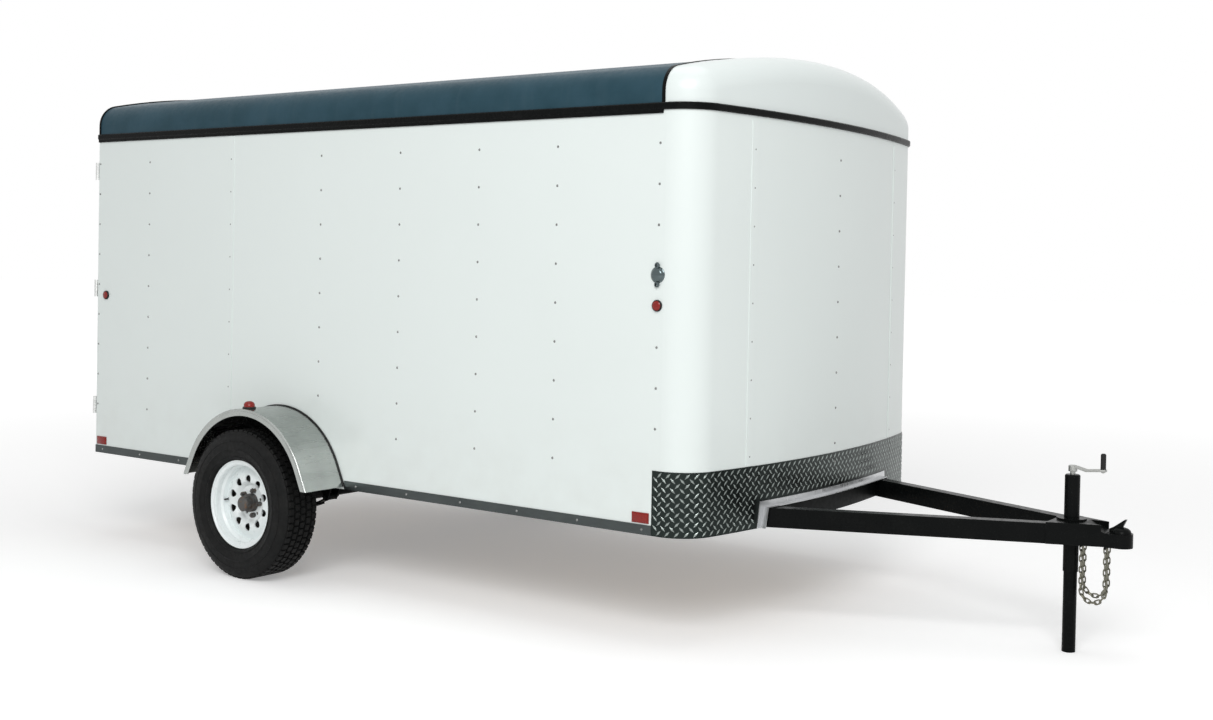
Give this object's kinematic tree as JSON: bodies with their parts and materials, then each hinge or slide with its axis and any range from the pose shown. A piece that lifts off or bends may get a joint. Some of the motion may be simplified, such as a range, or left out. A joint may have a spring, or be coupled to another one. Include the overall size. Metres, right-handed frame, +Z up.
{
  "type": "enclosed cargo trailer",
  "caption": "Enclosed single-axle cargo trailer with a bowed front, arched roof, double rear doors, A-frame tongue, ball coupler and tongue jack.",
  "frame": {"origin": "on the ground under the middle of the trailer's length and width", "axes": "+X forward towards the coupler, +Y to the trailer's left, +Z up"},
  "size_m": [5.005, 2.384, 2.2899],
  "materials": {
    "white_skin": "gloss",
    "nose_white": "gloss",
    "roof_metal": "satin",
    "black_paint": "gloss",
    "frame_paint": "satin",
    "diamond_plate": "bright",
    "fender_metal": "satin",
    "rail_grey": "satin",
    "plywood": "satin",
    "tyre_rubber": "matte",
    "wheel_white": "gloss",
    "hub_metal": "satin",
    "zinc": "satin",
    "chrome_trim": "gloss",
    "red_lens": "gloss",
    "black_plastic": "satin"
  },
  "bodies": {
    "trailer_body": {"side_rails": "frame_paint", "cross_members": "frame_paint", "front_rail": "frame_paint", "tongue_tubes": "black_paint", "floor_deck": "plywood", "wall_left": "white_skin", "wall_right": "white_skin", "wall_front": "white_skin", "front_corner_left": "white_skin", "front_corner_right": "white_skin", "roof_panel": "roof_metal", "nose_cap": "nose_white", "roof_rails": "black_paint", "nose_trim": "black_paint", "roof_seam_trim": "black_paint", "bottom_strips": "rail_grey", "stone_guard": "diamond_plate", "tongue_trim": "diamond_plate", "rear_posts": "black_paint", "rear_header": "black_paint", "rear_sill": "black_paint", "fender_left": "fender_metal", "fender_right": "fender_metal", "fender_backs": "black_paint", "side_lamps": "red_lens", "reflectors": "red_lens", "rear_lamps": "red_lens", "wall_fixtures": "chrome_trim", "axle": "frame_paint", "leaf_springs": "frame_paint", "spring_hangers": "frame_paint", "axle_u_bolts": "zinc", "hinge_brackets": "zinc", "lock_keepers": "zinc", "coupler": "black_paint", "coupler_latch": "black_paint", "safety_chains": "zinc", "jack_tube": "black_paint", "jack_crank": "zinc", "crank_grip": "black_plastic"},
    "left_wheel": {"tyre_left": "tyre_rubber", "rim_left": "wheel_white", "hub_left": "hub_metal"},
    "right_wheel": {"tyre_right": "tyre_rubber", "rim_right": "wheel_white", "hub_right": "hub_metal"},
    "left_door": {"door_left": "white_skin", "door_hinges_left": "zinc", "lock_bar_left": "zinc"},
    "right_door": {"door_right": "white_skin", "door_hinges_right": "zinc", "lock_bar_right": "zinc"},
    "jack_stand": {"jack_leg": "black_paint"}
  },
  "joints": [
    {"name": "left_wheel_spin", "type": "hinge", "parent": "trailer_body", "child": "left_wheel", "pos_m": [-1.0785, 1.0895, 0.3315], "axis": [0, 1, 0], "continuous": true},
    {"name": "right_wheel_spin", "type": "hinge", "parent": "trailer_body", "child": "right_wheel", "pos_m": [-1.0785, -1.0895, 0.3315], "axis": [0, 1, 0], "continuous": true},
    {"name": "left_door_swing", "type": "hinge", "parent": "trailer_body", "child": "left_door", "pos_m": [-2.4735, 0.9505, 1.255], "axis": [0, 0, -1], "range_deg": [0, 240]},
    {"name": "right_door_swing", "type": "hinge", "parent": "trailer_body", "child": "right_door", "pos_m": [-2.4735, -0.9505, 1.255], "axis": [0, 0, 1], "range_deg": [0, 240]},
    {"name": "jack_raise", "type": "slide", "parent": "trailer_body", "child": "jack_stand", "axis": [0, 0, 1], "range_m": [0, 0.29]}
  ]
}
